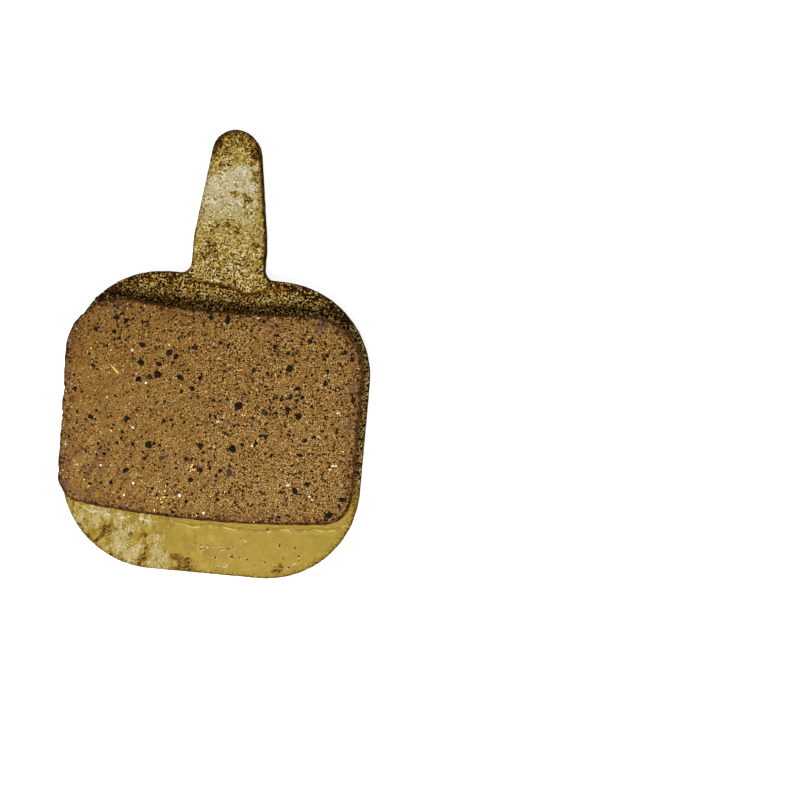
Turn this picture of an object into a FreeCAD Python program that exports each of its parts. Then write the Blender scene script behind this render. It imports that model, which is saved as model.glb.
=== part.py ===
"""Disc brake pad for a bicycle calliper: a stamped steel backing plate with a tapered pull tab, and a
friction block pressed onto it, keyed through five holes in the plate.

Frame, in millimetres: the pad lies on the plate's back face, friction face up. The origin is on the back
face at the axis of the centre hole, where the calliper's piston pushes. +Z runs from the plate to the
friction face, and +Y runs along the tab, towards the rotor's axle.
"""
import FreeCAD, Part
import math
import os

import Sketcher
from FreeCAD import Vector

# A sketch's own axes, the points of its lines and arcs, and how near counts as the same place
X_AXIS, Y_AXIS = range(-1, -3, -1)
START, END, CENTRE = range(1, 4)
ORIGIN = (X_AXIS, START)
SAME_PLACE = 1e-4

SIZES = {
    # Backing plate, a rounded square punched from sheet
    "body_width": 22.2,
    "body_height": 22.2,
    "corner_radius": 7.0,
    "plate_thickness": 1.8,
    # Rounding that punching leaves on the back face, and the sharper edge round the front face
    "die_roll_radius": 0.5,
    "front_edge_radius": 0.15,
    # Pull tab: straight at its root, then bending in and tapering to a round tip
    "tab_root_width": 5.25,
    "tab_straight_length": 2.26,
    "tab_length": 10.55,
    "tab_tip_radius": 1.75,
    "tab_root_fillet": 0.8,
    "tab_bend_radius": 5.0,
    # Keying holes: one in the centre, a pair near the tab and a wider pair on the far side
    "centre_hole_diameter": 5.4,
    "near_hole_diameter": 3.1,
    "near_hole_spacing": 9.6,
    "near_hole_inset": 4.05,
    "far_hole_diameter": 3.6,
    "far_hole_side_inset": 3.55,
    "far_hole_inset": 3.7,
    "hole_rim_chamfer": 0.2,
    # Friction block: the plate left bare round it, and the rotor that its long edges follow
    "friction_thickness": 2.2,
    "side_margin": 0.5,
    "near_margin": 2.6,
    "far_margin": 4.5,
    "rotor_radius": 80.0,
    "near_corner_radius": 4.0,
    "far_corner_radius": 2.0,
    "friction_edge_radius": 0.2,
    # Ends of the block's plugs, just below the plate's back face
    "plug_recess": 0.15,
    "plug_end_chamfer": 0.2,
}

# Places that several sketches share, worked out from the sizes
PLACES = {
    "shoulder": "=body_height / 2",
    "friction_half_width": "=body_width / 2 - side_margin",
    "friction_near_edge": "=body_height / 2 - near_margin",
    "friction_far_edge": "=body_height / 2 - far_margin",
    "rotor_axle": "=rotor_radius - friction_far_edge",
    "near_edge_radius": "=rotor_axle - friction_near_edge",
    "near_hole_y": "=friction_near_edge - near_hole_inset",
    "far_hole_y": "=far_hole_inset - friction_far_edge",
    "far_hole_spacing": "=2 * (friction_half_width - far_hole_side_inset)",
}


def make_sheet(doc):
    """The spreadsheet of driving dimensions, one named cell each, and the places worked out from them."""
    sheet = doc.addObject("Spreadsheet::Sheet", "Sizes")
    for row, (name, value) in enumerate({**SIZES, **PLACES}.items(), start=1):
        sheet.set(f"A{row}", name)
        sheet.set(f"B{row}", str(value))
        sheet.setAlias(f"B{row}", name)
    doc.recompute()
    return sheet


def new_sketch(body, name, height=None):
    """A sketch in the plane of the plate's back face, or at a height above it that the sheet gives."""
    back_plane = next(f for f in body.Origin.OriginFeatures if f.Role == "XY_Plane")
    sketch = body.newObject("Sketcher::SketchObject", name)
    sketch.AttachmentSupport = [(back_plane, "")]
    sketch.MapMode = "FlatFace"
    if height:
        sketch.setExpression("AttachmentOffset.Base.z", height)
    return sketch


def dimension(sketch, kind, *where, expression, start):
    """Adds a dimension to a sketch and ties it to the sheet."""
    index = sketch.addConstraint(Sketcher.Constraint(kind, *where, start))
    sketch.setExpression(f"Constraints[{index}]", expression)


def constrain(sketch, *rules):
    for rule in rules:
        sketch.addConstraint(Sketcher.Constraint(*rule))


def pad(body, name, sketch, length):
    """Raises a sketch by a length that the sheet gives."""
    feature = body.newObject("PartDesign::Pad", name)
    feature.Profile = (sketch, [""])
    feature.setExpression("Length", length)
    body.Document.recompute()


def cut_through(body, name, sketch):
    """Cuts a sketch up through the whole body."""
    uncut = body.Tip.Shape.Volume
    feature = body.newObject("PartDesign::Pocket", name)
    feature.Profile = (sketch, [""])
    feature.Type = "ThroughAll"
    feature.Reversed = True
    body.Document.recompute()
    if feature.Shape.Volume >= uncut:
        raise RuntimeError(f"{name} cut nothing")


def dress_edges(body, kind, name, chosen, measure, expression):
    """Works the edges of the body's last feature that the test named chosen picks."""
    base = body.Tip
    names = [f"Edge{i}" for i, edge in enumerate(base.Shape.Edges, start=1) if chosen(edge)]
    feature = body.newObject(kind, name)
    feature.Base = (base, names)
    feature.setExpression(measure, expression)
    body.Document.recompute()


def fillet(body, name, chosen, radius):
    dress_edges(body, "PartDesign::Fillet", name, chosen, "Radius", radius)


def chamfer(body, name, chosen, width):
    dress_edges(body, "PartDesign::Chamfer", name, chosen, "Size", width)


def upright(edge):
    """True for a straight edge parallel to Z."""
    ends = [v.Point for v in edge.Vertexes]
    return len(ends) == 2 and (ends[0] - ends[1]).cross(Vector(0, 0, 1)).Length < SAME_PLACE


def at_height(height):
    """A test for edges that lie flat at that height."""
    def lies_there(edge):
        box = edge.BoundBox
        return abs(box.ZMin - height) < SAME_PLACE and abs(box.ZMax - height) < SAME_PLACE
    return lies_there


def upright_at(x, y):
    """A test for upright edges at (x, y) or its mirror image across the tab's centre line."""
    def stands_there(edge):
        if not upright(edge):
            return False
        point = edge.Vertexes[0].Point
        return abs(abs(point.x) - x) < SAME_PLACE and abs(point.y - y) < SAME_PLACE
    return stands_there


def sketch_plate_body(body, size):
    """Rectangle about the origin, which the corner fillets turn into a rounded square."""
    sketch = new_sketch(body, "body_outline")
    half_width = size.body_width / 2
    signs = ((-1, -1), (1, -1), (1, 1), (-1, 1))
    corners = [Vector(x * half_width, y * size.shoulder, 0) for x, y in signs]
    lines = [sketch.addGeometry(Part.LineSegment(corners[i], corners[(i + 1) % 4])) for i in range(4)]
    bottom, right, top, left = lines
    constrain(sketch, *[("Coincident", lines[i], END, lines[(i + 1) % 4], START) for i in range(4)])
    constrain(
        sketch,
        ("Horizontal", bottom),
        ("Horizontal", top),
        ("Vertical", right),
        ("Vertical", left),
        ("Symmetric", bottom, START, top, START, *ORIGIN),
    )
    dimension(sketch, "DistanceX", bottom, START, bottom, END,
              expression="Sizes.body_width", start=size.body_width)
    dimension(sketch, "DistanceY", right, START, right, END,
              expression="Sizes.body_height", start=size.body_height)
    return sketch


def tab_taper(size):
    """The angle at which a flank of the tab leans in, so that it touches both the bend's arc and the tip's."""
    across = size.tab_bend_radius - size.tab_root_width / 2
    along = size.tab_length - size.tab_tip_radius - size.tab_straight_length
    overlap = (size.tab_bend_radius - size.tab_tip_radius) / math.hypot(across, along)
    return math.atan2(along, across) - math.acos(overlap)


def sketch_tab(body, size):
    """The tab, from the plate's centre line to its round tip: each side is straight, bends, and tapers."""
    sketch = new_sketch(body, "tab_outline")
    up = Vector(0, 0, 1)
    root = size.tab_root_width / 2
    bend = size.shoulder + size.tab_straight_length
    tip = size.shoulder + size.tab_length - size.tab_tip_radius
    taper = tab_taper(size)
    lean = Vector(math.cos(taper), math.sin(taper), 0)
    bend_centre = Vector(root - size.tab_bend_radius, bend, 0)
    bend_end = bend_centre + lean * size.tab_bend_radius
    tip_centre = Vector(0, tip, 0)
    tip_start = tip_centre + lean * size.tab_tip_radius

    def mirrored(point):
        return Vector(-point.x, point.y, 0)

    def line(start, end):
        return sketch.addGeometry(Part.LineSegment(start, end))

    def arc(centre, radius, first, last):
        return sketch.addGeometry(Part.ArcOfCircle(Part.Circle(centre, up, radius), first, last))

    base = line(Vector(-root, 0, 0), Vector(root, 0, 0))
    right = line(Vector(root, 0, 0), Vector(root, bend, 0))
    right_bend = arc(bend_centre, size.tab_bend_radius, 0, taper)
    right_flank = line(bend_end, tip_start)
    tip_arc = arc(tip_centre, size.tab_tip_radius, taper, math.pi - taper)
    left_flank = line(mirrored(tip_start), mirrored(bend_end))
    left_bend = arc(mirrored(bend_centre), size.tab_bend_radius, math.pi - taper, math.pi)
    left = line(Vector(-root, bend, 0), Vector(-root, 0, 0))
    sides = (right, right_bend, right_flank, tip_arc, left_flank, left_bend, left)
    constrain(sketch, *[("Tangent", sides[i], END, sides[i + 1], START) for i in range(len(sides) - 1)])
    constrain(
        sketch,
        ("Coincident", base, END, right, START),
        ("Coincident", left, END, base, START),
        ("PointOnObject", base, START, X_AXIS),
        ("Symmetric", base, START, base, END, Y_AXIS),
        ("Symmetric", right, END, left, START, Y_AXIS),
        ("Vertical", right),
        ("PointOnObject", tip_arc, CENTRE, Y_AXIS),
        ("Equal", right_bend, left_bend),
    )
    dimension(sketch, "DistanceX", base, START, base, END,
              expression="Sizes.tab_root_width", start=size.tab_root_width)
    dimension(sketch, "DistanceY", *ORIGIN, right, END,
              expression="Sizes.shoulder + Sizes.tab_straight_length", start=bend)
    dimension(sketch, "DistanceY", *ORIGIN, tip_arc, CENTRE,
              expression="Sizes.shoulder + Sizes.tab_length - Sizes.tab_tip_radius", start=tip)
    dimension(sketch, "Radius", tip_arc,
              expression="Sizes.tab_tip_radius", start=size.tab_tip_radius)
    dimension(sketch, "Radius", right_bend,
              expression="Sizes.tab_bend_radius", start=size.tab_bend_radius)
    return sketch


def sketch_holes(body, name, size, height=None):
    """The five keying holes, which the plate is cut by and the block's plugs fill."""
    sketch = new_sketch(body, name, height)
    up = Vector(0, 0, 1)

    def circle(x, y, hole):
        diameter = getattr(size, hole)
        index = sketch.addGeometry(Part.Circle(Vector(x, y, 0), up, diameter / 2))
        dimension(sketch, "Diameter", index, expression=f"Sizes.{hole}", start=diameter)
        return index

    def pair(hole, spacing, y_name):
        apart = getattr(size, spacing)
        y = getattr(size, y_name)
        left, right = (circle(side * apart / 2, y, hole) for side in (-1, 1))
        constrain(sketch, ("Symmetric", left, CENTRE, right, CENTRE, Y_AXIS))
        dimension(sketch, "DistanceX", left, CENTRE, right, CENTRE,
                  expression=f"Sizes.{spacing}", start=apart)
        dimension(sketch, "DistanceY", *ORIGIN, left, CENTRE,
                  expression=f"Sizes.{y_name}", start=y)

    centre = circle(0, 0, "centre_hole_diameter")
    constrain(sketch, ("Coincident", centre, CENTRE, *ORIGIN))
    pair("near_hole_diameter", "near_hole_spacing", "near_hole_y")
    pair("far_hole_diameter", "far_hole_spacing", "far_hole_y")
    return sketch


def make_backing_plate(doc, size):
    """Steel plate with its tab, the five holes, and the rounding that punching leaves on its edges."""
    body = doc.addObject("PartDesign::Body", "backing_plate")
    body.Label = "backing_plate"

    pad(body, "plate_body", sketch_plate_body(body, size), "Sizes.plate_thickness")
    fillet(body, "plate_corners", upright, "Sizes.corner_radius")
    pad(body, "pull_tab", sketch_tab(body, size), "Sizes.plate_thickness")

    root = size.tab_root_width / 2
    at_bend = upright_at(root, size.shoulder + size.tab_straight_length)

    def at_tab_root(edge):
        on_tab_side = upright(edge) and abs(abs(edge.Vertexes[0].X) - root) < SAME_PLACE
        return on_tab_side and not at_bend(edge)

    fillet(body, "tab_root", at_tab_root, "Sizes.tab_root_fillet")
    fillet(body, "die_roll", at_height(0), "Sizes.die_roll_radius")
    fillet(body, "front_edge", at_height(size.plate_thickness), "Sizes.front_edge_radius")

    def hole_rim(edge):
        return edge.isClosed() and at_height(0)(edge)

    cut_through(body, "keying_holes", sketch_holes(body, "hole_circles", size))
    chamfer(body, "hole_rims", hole_rim, "Sizes.hole_rim_chamfer")
    return body


def rotor_arc_at(size, radius, x):
    """The y, at x, of an arc of that radius round the rotor's axle."""
    return size.rotor_axle - math.sqrt(radius ** 2 - x ** 2)


def far_edge_at(size, x):
    return rotor_arc_at(size, size.rotor_radius, x)


def near_edge_at(size, x):
    return rotor_arc_at(size, size.near_edge_radius, x)


def sketch_friction_face(body, size):
    """The block's outline: two straight sides, and two edges that follow the rotor round its axle."""
    sketch = new_sketch(body, "friction_outline", "Sizes.plate_thickness")
    half = size.friction_half_width
    places = (-half, 0, half)
    far_points = [Vector(x, far_edge_at(size, x), 0) for x in places]
    near_points = [Vector(x, near_edge_at(size, x), 0) for x in places]
    far = sketch.addGeometry(Part.Arc(*far_points))
    near = sketch.addGeometry(Part.Arc(*near_points))
    left = sketch.addGeometry(Part.LineSegment(far_points[0], near_points[0]))
    right = sketch.addGeometry(Part.LineSegment(far_points[-1], near_points[-1]))
    constrain(
        sketch,
        ("Coincident", far, START, left, START),
        ("Coincident", far, END, right, START),
        ("Coincident", near, START, left, END),
        ("Coincident", near, END, right, END),
        ("Coincident", far, CENTRE, near, CENTRE),
        ("PointOnObject", far, CENTRE, Y_AXIS),
        ("Vertical", left),
        ("Vertical", right),
    )
    for side, sign in ((left, -1), (right, 1)):
        dimension(sketch, "DistanceX", *ORIGIN, side, START,
                  expression=f"{sign} * Sizes.friction_half_width", start=sign * half)
    dimension(sketch, "DistanceY", *ORIGIN, far, CENTRE,
              expression="Sizes.rotor_axle", start=size.rotor_axle)
    dimension(sketch, "Radius", far,
              expression="Sizes.rotor_radius", start=size.rotor_radius)
    dimension(sketch, "Radius", near,
              expression="Sizes.near_edge_radius", start=size.near_edge_radius)
    return sketch


def make_friction_block(doc, size):
    """Friction block, with the plugs by which it is keyed into the plate, pressed as one piece."""
    body = doc.addObject("PartDesign::Body", "friction_block")
    body.Label = "friction_block"
    half = size.friction_half_width
    face_height = size.plate_thickness + size.friction_thickness

    pad(body, "block", sketch_friction_face(body, size), "Sizes.friction_thickness")
    fillet(body, "near_corners", upright_at(half, near_edge_at(size, half)), "Sizes.near_corner_radius")
    fillet(body, "far_corners", upright_at(half, far_edge_at(size, half)), "Sizes.far_corner_radius")
    fillet(body, "face_edge", at_height(face_height), "Sizes.friction_edge_radius")

    pad(body, "plugs", sketch_holes(body, "plug_circles", size, "Sizes.plug_recess"),
        "Sizes.plate_thickness - Sizes.plug_recess")
    chamfer(body, "plug_ends", at_height(size.plug_recess), "Sizes.plug_end_chamfer")
    return body


def check(doc, bodies):
    """Stops unless every object was computed and every sub-part is one valid solid."""
    doc.recompute()
    failed = [o.Name for o in doc.Objects if {"Invalid", "Error"} & set(o.State)]
    if failed:
        raise RuntimeError(f"these objects failed: {failed}")
    for body in bodies:
        shape = body.Shape
        if shape.isNull() or not shape.isValid() or len(shape.Solids) != 1:
            raise RuntimeError(f"{body.Label} is not one valid solid")


def main():
    doc = FreeCAD.newDocument("brake_pad")
    size = make_sheet(doc)
    bodies = [make_backing_plate(doc, size), make_friction_block(doc, size)]
    check(doc, bodies)
    os.makedirs("parts", exist_ok=True)
    for body in bodies:
        body.Shape.exportStep(f"parts/{body.Label}.step")
        print(f"{body.Label}: {body.Shape.Volume:.2f} mm3")


main()
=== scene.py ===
import math
import random

import bmesh
import bpy
import numpy as np
from mathutils import Matrix, Vector, noise
from mathutils.bvhtree import BVHTree


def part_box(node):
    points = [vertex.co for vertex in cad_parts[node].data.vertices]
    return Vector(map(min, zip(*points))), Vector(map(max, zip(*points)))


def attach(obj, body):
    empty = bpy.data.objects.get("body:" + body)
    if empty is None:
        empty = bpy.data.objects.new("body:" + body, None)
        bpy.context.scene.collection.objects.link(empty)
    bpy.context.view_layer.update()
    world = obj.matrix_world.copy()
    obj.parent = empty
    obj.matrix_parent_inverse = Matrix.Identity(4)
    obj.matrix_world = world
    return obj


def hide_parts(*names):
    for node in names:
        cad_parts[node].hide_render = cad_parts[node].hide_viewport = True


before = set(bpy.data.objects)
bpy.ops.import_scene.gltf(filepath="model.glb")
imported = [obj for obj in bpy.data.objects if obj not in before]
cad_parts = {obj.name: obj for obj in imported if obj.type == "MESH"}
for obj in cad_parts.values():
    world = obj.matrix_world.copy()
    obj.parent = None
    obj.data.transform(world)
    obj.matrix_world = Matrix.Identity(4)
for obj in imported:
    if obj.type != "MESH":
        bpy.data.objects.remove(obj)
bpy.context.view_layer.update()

# Units: the mesh code works in millimetres in the part's frame, and a finished piece is scaled to metres
MM = 0.001
RNG = random.Random(20)

# Camera, measured from the photograph: straight down but for a slight tilt, close above the pad
IMAGE_PX = 800
FOCAL_PX = 900
SENSOR_MM = 36
CAMERA_HEIGHT = 67.9
CAMERA_TILT = math.radians(4.73)
PAD_TO_CAMERA = (13.69, 7.48)
TAB_LEAN = math.radians(5.35)

PLATE_LOW, PLATE_HIGH = (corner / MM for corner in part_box("backing_plate"))
BLOCK_LOW, BLOCK_HIGH = (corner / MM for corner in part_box("friction_block"))
PLATE_FRONT = PLATE_HIGH.z
FACE = BLOCK_HIGH.z
SHOULDER = -PLATE_LOW.y

# How finely the CAD solids are remeshed, and how near two vertices are that become one
PLATE_VOXEL = 0.13
BLOCK_VOXEL = 0.115
WELD = 1e-4
# Limits for the Z part of a face's normal: walls are under the first, the front is over the second, and the
# back is under the third
WALL_NORMAL = 0.2
FRONT_NORMAL = 0.7
BACK_NORMAL = -0.25
# How far the noise of one seed lies from that of the next
NOISE_STEPS = (17.3, 9.1, 5.7)
RAGGED_SEEDS = (21, 22, 23)

# The ground face lies this far below the CAD face, so that grains can stand out of it
FACE_DROP = 0.03
# Grains in the face: how many, how they are sunk in it and how uneven their outlines are
SMALL_GRAINS = 260
BRASS_GRAINS = 90
GRAIN_TOP = FACE - 0.012
HIGHEST_POINT = FACE - 0.002
GRAIN_DEPTH = 0.1
GRAIN_LEAN = 0.06
GRAIN_CORNERS = (7, 10)
CORNER_REACH = (0.6, 1.25)
CORNER_SHIFT = 0.35
CLUSTERED_SHARE = 0.4
CLUSTER_SPREAD = 0.5
SLIVER_WIDTH = 0.06
# Burst bubbles in the lacquer: how many besides those with a given place, and the area these are in
STRAY_BUBBLES = 22
STRAYS_LEFT, STRAYS_RIGHT = -1.0, 7.5
STRAYS_LOW, STRAYS_HIGH = -10.5, -8.2
BUBBLE_CORNERS = 14
# A burst bubble from its middle outwards: reach in radii, rise, and how far it counts as hollow
BUBBLE_PROFILE = (
    (0.0, 0.01, 1.0), (0.5, 0.012, 1.0), (0.75, 0.025, 0.7), (0.95, 0.045, 0.0),
    (1.15, 0.04, 0.0), (1.4, 0.015, 0.0), (1.7, -0.04, 0.0),
)

# The stage: half the floor's width in metres, and how bright the floor and the sky shine
FLOOR_HALF = 2.0
FLOOR_GLOW = 0.78
SKY_STRENGTH = 0.25

# Places read off the photograph, in millimetres from the origin: x, y and a radius
STAINS = (
    (-7.6, -8.7, 0.29), (-7.9, -9.1, 0.29), (-8.1, -9.5, 0.29), (-7.4, -8.4, 0.22), (-4.5, -9.6, 0.22),
    (-4.5, -10.1, 0.29), (-4.6, -10.5, 0.22), (-4.8, -8.7, 0.22), (-4.5, -8.8, 0.22), (-5.5, -8.6, 0.22),
    (-2.0, -10.1, 0.37), (-1.5, -10.3, 0.29), (-1.9, -10.6, 0.37), (-1.3, -10.7, 0.29), (-6.9, -10.3, 0.22),
    (-8.9, -8.9, 0.22), (-4.9, -10.6, 0.29), (5.3, -10.5, 0.22), (5.7, -10.3, 0.29), (6.3, -7.2, 0.2),
    (-1.1, 19.0, 0.22), (-0.6, 19.0, 0.18), (-1.6, 18.8, 0.15), (1.5, 18.6, 0.29), (1.5, 18.1, 0.22),
    (0.2, 17.1, 0.18), (0.8, 17.0, 0.22), (1.1, 16.6, 0.29), (1.0, 16.1, 0.22), (1.1, 15.7, 0.22),
    (-1.6, 14.7, 0.22), (-1.3, 14.3, 0.22), (-0.1, 14.9, 0.29), (0.6, 14.5, 0.22), (-1.4, 20.3, 0.18),
    (-0.8, 19.7, 0.15), (0.0, 19.6, 0.18), (-0.6, 19.5, 0.15), (1.1, 20.5, 0.29), (1.3, 19.9, 0.29),
    (1.1, 19.3, 0.22), (-1.8, 15.8, 0.15), (-1.0, 14.6, 0.18), (-1.2, 13.0, 0.4), (1.9, 13.5, 0.35),
    (-1.7, 12.5, 0.35), (-4.6, 10.2, 0.37), (-4.2, 10.1, 0.29), (-6.5, 10.1, 0.37), (-7.0, 10.0, 0.29),
    (-3.7, 10.9, 0.29), (-2.6, 10.8, 0.29),
)
# Patches of painted glare on the smooth lacquer below the block, a reflection put into the colour: x, y and
# a radius
BAND_GLARE = (
    (-8.3, -6.9, 0.37), (-7.7, -7.2, 0.37), (-9.4, -7.5, 0.29), (-8.3, -7.9, 0.37), (-6.6, -7.7, 0.44),
    (-6.4, -8.4, 0.51), (-5.7, -8.1, 0.37), (-6.8, -8.7, 0.29), (-6.2, -9.7, 0.51), (-5.6, -10.0, 0.51),
    (-5.9, -10.3, 0.44), (-7.0, -9.5, 0.37), (-3.6, -8.9, 0.44), (-3.6, -9.8, 0.51), (-3.1, -10.3, 0.59),
    (-3.7, -10.7, 0.44), (-4.3, -7.3, 0.37), (-5.3, -10.5, 0.37), (-2.7, -10.5, 0.37), (-5.0, -9.4, 0.29),
)
# Where the tab's lacquer ends on the shoulder, from left to right: x and y
TIDE_LINE = (
    (-2.24, 10.5), (-1.65, 10.5), (-1.01, 10.42), (-0.41, 10.43), (0.09, 10.33), (0.7, 10.26),
    (1.01, 10.14), (1.27, 9.98), (1.59, 9.89), (1.94, 10.05), (2.36, 10.13), (2.83, 10.25),
)
# Where a patch of painted glare lies near the tab's tip: x, y and a radius
TIP_GLARE = ((-0.1, 20.3, 0.6),)
# Marks on the back: a scuff near a corner, and two pits by the tab's edge
SCUFFS = (
    (5.0, -8.3, 0.5), (5.5, -7.8, 0.5), (6.0, -7.5, 0.4), (5.3, -8.9, 0.4),
    (-2.2, 14.5, 0.2), (-2.0, 15.4, 0.2),
)
# Burst bubbles, whose places alone are given
BUBBLES = (
    (1.7, -9.0), (2.0, -9.6), (3.2, -9.7), (2.6, -9.6), (1.5, -10.3), (7.0, -9.1), (4.8, -9.3),
    (2.8, -8.3), (-0.3, -9.0), (2.1, -8.9), (6.3, -7.2), (4.5, -7.3),
)
# Grey smears near the friction face's edge
SMEARS = (
    (-7.1, 8.2, 0.3), (-7.05, 7.6, 0.25), (7.3, 8.2, 0.45), (10.1, 1.2, 0.4), (10.0, 3.8, 0.35),
    (-10.1, 5.9, 0.3), (-9.7, 6.6, 0.2), (-9.9, -4.9, 0.35), (-9.0, -5.4, 0.3), (-10.2, -3.4, 0.2),
    (-8.3, -5.0, 0.2),
)
# Larger graphite grains
GRANULES = (
    (-2.7, 5.1, 0.24), (-3.2, 5.3, 0.24), (-5.1, 4.4, 0.27), (-3.9, 3.7, 0.26), (-4.5, 3.4, 0.24),
    (-5.2, 3.2, 0.2), (-2.3, 3.6, 0.23), (-5.1, 5.7, 0.22), (-7.1, 7.4, 0.2), (-8.5, 6.5, 0.2),
    (-7.2, 6.4, 0.18), (-6.4, 7.2, 0.15), (-9.7, 2.1, 0.18), (-1.4, 2.9, 0.2), (-3.9, 4.4, 0.2),
    (-0.4, 8.2, 0.18), (0.8, 8.3, 0.28), (3.3, 8.1, 0.17), (6.7, 7.0, 0.22), (5.4, 5.0, 0.26),
    (2.9, 4.6, 0.17), (8.1, 5.0, 0.19), (8.0, 4.1, 0.22), (9.2, 6.4, 0.2), (9.8, 6.0, 0.16),
    (6.1, 3.6, 0.2), (10.2, 3.2, 0.2), (2.0, 2.0, 0.28), (5.5, 2.0, 0.22), (3.9, 1.6, 0.21),
    (6.3, 1.6, 0.22), (4.3, 6.4, 0.2), (5.6, 2.9, 0.16), (-4.2, -1.4, 0.3), (-5.7, -3.4, 0.24),
    (-5.9, 0.3, 0.21), (-8.4, 0.2, 0.19), (-3.2, -2.3, 0.22), (-0.5, -1.2, 0.22), (-0.4, -2.9, 0.22),
    (-1.0, -3.7, 0.2), (-1.4, -2.2, 0.16), (1.8, -1.2, 0.29), (2.5, -0.8, 0.16), (4.1, -0.1, 0.16),
    (1.7, -2.9, 0.24), (6.9, -0.1, 0.18), (7.5, 0.2, 0.16), (8.1, 0.7, 0.16), (7.3, -3.2, 0.2),
    (6.5, -3.8, 0.24), (9.1, -5.3, 0.28), (6.7, -1.2, 0.15), (4.6, -1.4, 0.14), (10.0, -4.1, 0.22),
    (0.4, 6.3, 0.13), (5.2, 6.0, 0.11), (8.0, 6.1, 0.11), (8.5, 7.8, 0.12), (2.4, 2.8, 0.13),
    (4.6, 2.9, 0.13), (5.0, 2.7, 0.12), (6.1, 3.1, 0.12), (6.5, 3.0, 0.12), (6.1, 2.7, 0.12),
    (4.7, 1.7, 0.12), (3.1, 1.2, 0.12), (7.2, 2.4, 0.11), (1.8, 0.5, 0.13), (3.5, -0.6, 0.13),
    (0.3, -2.7, 0.16), (1.1, -2.8, 0.13), (1.7, -2.4, 0.11), (6.8, -2.4, 0.11), (2.3, -5.0, 0.15),
    (1.0, -4.9, 0.11), (8.9, -5.7, 0.15), (9.8, -4.6, 0.15), (5.5, -5.8, 0.14), (-6.8, 6.0, 0.13),
    (-5.6, 4.6, 0.13), (-2.9, 4.6, 0.14), (-1.5, 5.8, 0.14), (-0.9, 3.7, 0.18), (-2.1, 2.6, 0.13),
    (-3.2, 0.4, 0.14), (-6.4, -1.5, 0.13), (-5.3, -1.5, 0.13), (-3.8, -1.3, 0.15), (-4.4, -2.4, 0.13),
    (-0.8, -2.7, 0.15), (-1.2, -5.3, 0.13), (-6.7, -4.4, 0.13), (-8.2, -4.6, 0.13),
)
SMALLEST_GRANULE = 0.15
# Bright steel grains, whose places alone are given
SPECKS = (
    (-10.1, -1.9), (-9.2, -3.3), (-7.5, -3.2), (-5.1, -4.3), (-5.7, -5.2), (-1.7, -4.9), (0.1, -6.0),
    (-5.4, -0.3), (-4.7, 3.0), (-5.8, 5.2), (-7.4, 1.7), (0.6, 0.7), (3.2, -0.8), (6.0, -3.4), (7.6, -4.1),
    (9.1, -1.7), (9.3, -1.7), (9.1, 2.1), (2.9, 8.3),
)
# The ends of a brass sliver, and the place of the press flash
SLIVER_ENDS = Vector((-7.31, 4.09)), Vector((-6.63, 3.44))
FLASH_PLACE = Vector((-8.62, 8.53))


# Mesh tools

def dense_mesh(node, voxel):
    """A copy of a CAD node's solid in millimetres, remeshed in even quads of about one voxel."""
    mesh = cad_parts[node].data.copy()
    mesh.transform(Matrix.Scale(1 / MM, 4))
    mesh.materials.clear()
    welded = bmesh.new()
    welded.from_mesh(mesh)
    bmesh.ops.remove_doubles(welded, verts=welded.verts, dist=WELD)
    welded.to_mesh(mesh)
    welded.free()
    holder = bpy.data.objects.new("remesh_holder", mesh)
    bpy.context.collection.objects.link(holder)
    remesh = holder.modifiers.new("voxels", "REMESH")
    remesh.mode = "VOXEL"
    remesh.voxel_size = voxel
    dense = bpy.data.meshes.new_from_object(holder.evaluated_get(bpy.context.evaluated_depsgraph_get()))
    bpy.data.objects.remove(holder)
    return dense


def wall_tree(node, keep):
    """A search tree of a CAD node's upright faces, those whose centre the test named keep lets through."""
    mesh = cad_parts[node].data
    points = [v.co / MM for v in mesh.vertices]
    walls = [p for p in mesh.polygons if abs(p.normal.z) < WALL_NORMAL and keep(p.center / MM)]
    return BVHTree.FromPolygons(points, [p.vertices[:] for p in walls])


def distances(tree, points, height):
    """How far each point is, in plan, from the walls in a tree."""
    return np.array([tree.find_nearest(Vector((x, y, height)))[3] for x, y, _ in points])


def read_points(mesh):
    points = np.empty(len(mesh.vertices) * 3)
    mesh.vertices.foreach_get("co", points)
    normals = np.empty(len(mesh.vertices) * 3)
    mesh.vertex_normals.foreach_get("vector", normals)
    return points.reshape(-1, 3), normals.reshape(-1, 3)


def write_points(mesh, points):
    mesh.vertices.foreach_set("co", (points * MM).ravel())
    mesh.update()


def store(mesh, name, values):
    """Keeps a number for every vertex, which a material reads by name."""
    mesh.attributes.new(name, "FLOAT", "POINT").data.foreach_set("value", values)


def fractal(points, size, octaves=3, seed=0):
    """Soft noise about zero, with features of about the given size in millimetres."""
    shift = Vector([seed * step for step in NOISE_STEPS])
    return np.array([noise.fractal(Vector(p) / size + shift, 1.0, 2.0, octaves) for p in points])


def smooth_step(values, low, high):
    t = np.clip((values - low) / (high - low), 0, 1)
    return t * t * (3 - 2 * t)


def blobs(points, places):
    """0 to 1: how near each point is, in plan, to the middle of the nearest of some round places."""
    nearest = np.zeros(len(points))
    for x, y, radius in places:
        apart = np.hypot(points[:, 0] - x, points[:, 1] - y) / radius
        nearest = np.maximum(nearest, np.exp(-apart ** 2))
    return nearest


def ragged(points, size, reach):
    """The points moved about by noise, so that a round place drawn there gets a ragged edge."""
    moves = np.stack([fractal(points, size, 3, seed) for seed in RAGGED_SEEDS], axis=1)
    return points + reach * moves


def add_piece(name, mesh, materials, node=None, smooth=True):
    piece = bpy.data.objects.new(name, mesh)
    bpy.context.collection.objects.link(piece)
    for material in materials:
        mesh.materials.append(material)
    if smooth:
        mesh.shade_smooth()
    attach(piece, "root")
    if node:
        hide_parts(node)
    return piece


# Materials

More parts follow.
